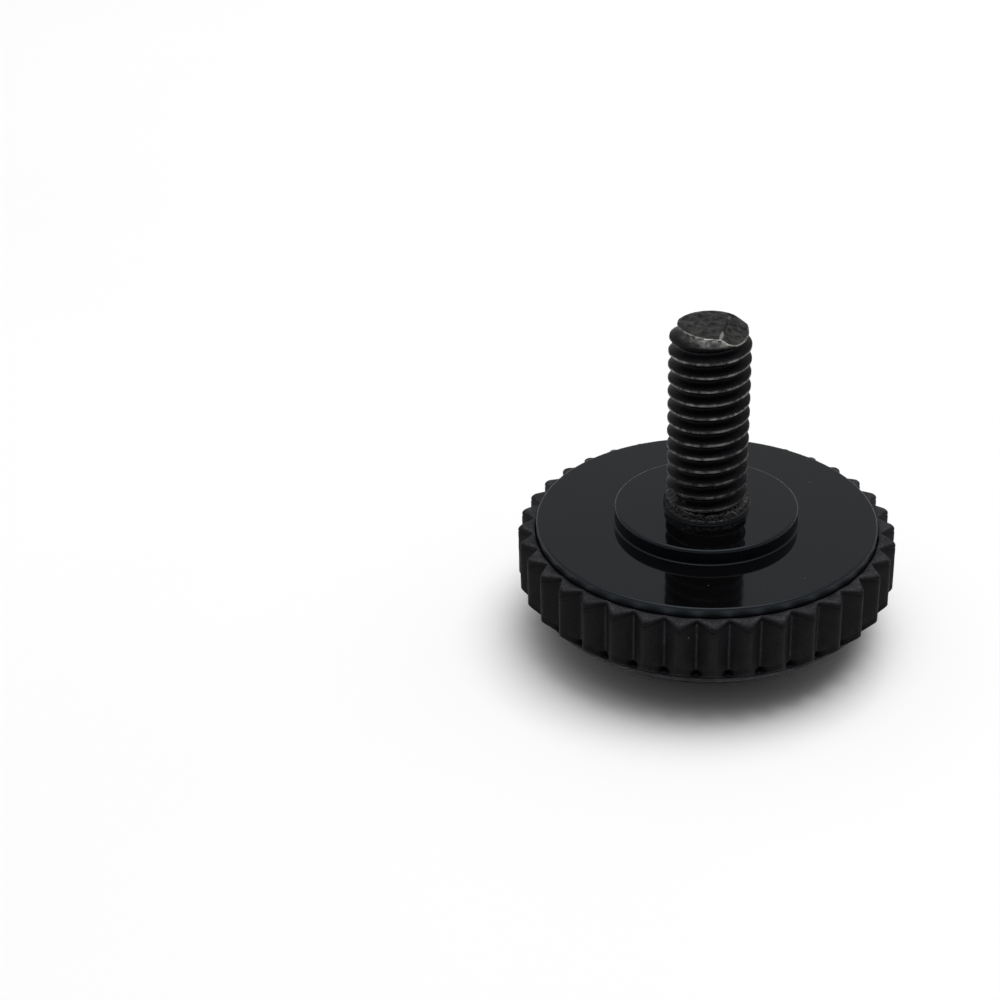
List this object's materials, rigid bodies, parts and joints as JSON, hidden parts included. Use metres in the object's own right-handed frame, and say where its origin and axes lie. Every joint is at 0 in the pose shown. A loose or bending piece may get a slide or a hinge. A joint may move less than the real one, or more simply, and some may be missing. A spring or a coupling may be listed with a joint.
{
  "type": "thumb screw",
  "caption": "Thumb screw with a threaded steel stud in a round head: a hard glossy plate and boss, a toothed rubber rim, and a driver slot in the domed underside.",
  "frame": {"origin": "centre of the slotted end, on the stud's axis, where the head stands", "axes": "+Z along the stud, from the slotted end to the stud's tip; the slot runs along X"},
  "size_m": [0.0182, 0.0182, 0.0162],
  "materials": {
    "black_oxide_steel": "black oxide, oiled, crests worn lighter",
    "glossy_plastic": "polished moulding, near mirror",
    "matte_rubber": "moulded, fine matte texture"
  },
  "bodies": {
    "root": {"threaded_stud": "black_oxide_steel", "core": "glossy_plastic", "rubber_grip": "matte_rubber"}
  },
  "joints": []
}
